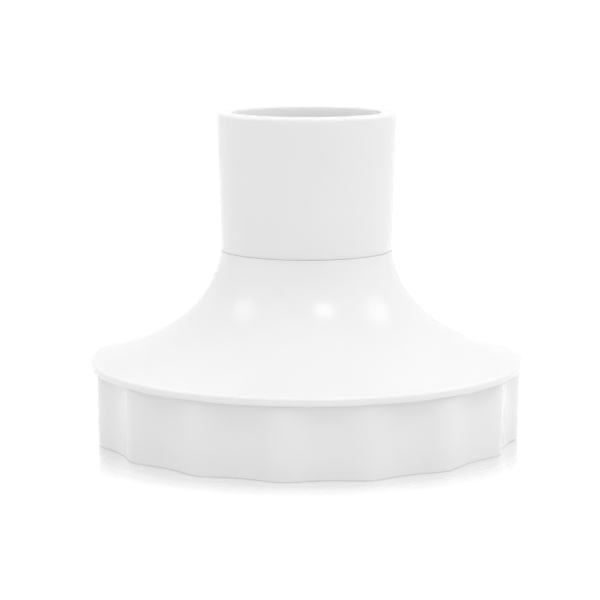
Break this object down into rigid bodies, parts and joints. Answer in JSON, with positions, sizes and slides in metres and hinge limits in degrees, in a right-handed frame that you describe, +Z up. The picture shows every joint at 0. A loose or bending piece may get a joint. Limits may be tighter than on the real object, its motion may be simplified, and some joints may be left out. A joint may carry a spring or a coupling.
{
  "type": "geared chopper bowl lid",
  "caption": "Geared lid that joins a hand blender's motor unit to a chopping bowl: collar socket, bell cover, fluted grip skirt and hexagonal blade drive.",
  "frame": {"origin": "centre of the skirt's bottom edge, on the surface that the lid stands on", "axes": "+Z up along the drive's axis, +X through one ridge of the fluted skirt"},
  "size_m": [0.15, 0.15, 0.1125],
  "materials": {
    "white_gloss": "smooth glossy white moulded plastic",
    "white_satin": "satin white moulded plastic",
    "grey_plastic": "glass-filled grey plastic",
    "acetal": "natural acetal, satin",
    "steel": "turned and ground steel",
    "bronze": "sintered bronze",
    "black_rubber": "black nitrile rubber",
    "silicone": "translucent pale silicone rubber"
  },
  "bodies": {
    "lid": {"skirt_ring": "white_gloss", "bell_cover": "white_gloss", "collar_sleeve": "white_gloss", "socket_liner": "white_satin", "lid_floor": "white_satin", "gear_cover": "white_satin", "gear_housing": "grey_plastic", "ring_gear": "acetal", "bowl_gasket": "silicone", "cover_oring": "black_rubber", "upper_bush": "bronze", "lower_bush": "bronze", "output_bush": "bronze", "shaft_seal": "black_rubber", "gear_screw_1": "steel", "gear_screw_2": "steel", "gear_screw_3": "steel", "gear_screw_4": "steel", "cover_screw_1": "steel", "cover_screw_2": "steel", "cover_screw_3": "steel", "cover_screw_4": "steel", "socket_screw_1": "steel", "socket_screw_2": "steel", "socket_screw_3": "steel", "sun_washer": "bronze", "carrier_washer": "bronze"},
    "input_drive": {"drive_coupling": "acetal", "input_shaft": "steel", "shaft_clip": "steel", "sun_gear": "steel"},
    "output_drive": {"planet_carrier": "acetal", "carrier_plate": "steel", "output_socket": "acetal", "output_screw": "steel", "planet_pin_1": "steel", "planet_pin_2": "steel", "planet_pin_3": "steel"},
    "planet_1": {"planet_gear_1": "acetal"},
    "planet_2": {"planet_gear_2": "acetal"},
    "planet_3": {"planet_gear_3": "acetal"}
  },
  "joints": [
    {"name": "output_spin", "type": "hinge", "parent": "lid", "child": "output_drive", "pos_m": [0, 0, 0.0211], "axis": [0, 0, 1], "continuous": true},
    {"name": "input_spin", "type": "hinge", "parent": "lid", "child": "input_drive", "pos_m": [0, 0, 0.0592], "axis": [0, 0, 1], "continuous": true},
    {"name": "planet_spin_1", "type": "hinge", "parent": "output_drive", "child": "planet_1", "pos_m": [0.015, 0, 0.0297], "axis": [0, 0, 1], "continuous": true},
    {"name": "planet_spin_2", "type": "hinge", "parent": "output_drive", "child": "planet_2", "pos_m": [-0.0075, 0.01299, 0.0297], "axis": [0, 0, 1], "continuous": true},
    {"name": "planet_spin_3", "type": "hinge", "parent": "output_drive", "child": "planet_3", "pos_m": [-0.0075, -0.01299, 0.0297], "axis": [0, 0, 1], "continuous": true}
  ],
  "couplings": [
    {"joint": "input_spin", "follows": "output_spin", "ratio": 5},
    {"joint": "planet_spin_1", "follows": "output_spin", "ratio": -2.6667},
    {"joint": "planet_spin_2", "follows": "output_spin", "ratio": -2.6667},
    {"joint": "planet_spin_3", "follows": "output_spin", "ratio": -2.6667}
  ]
}
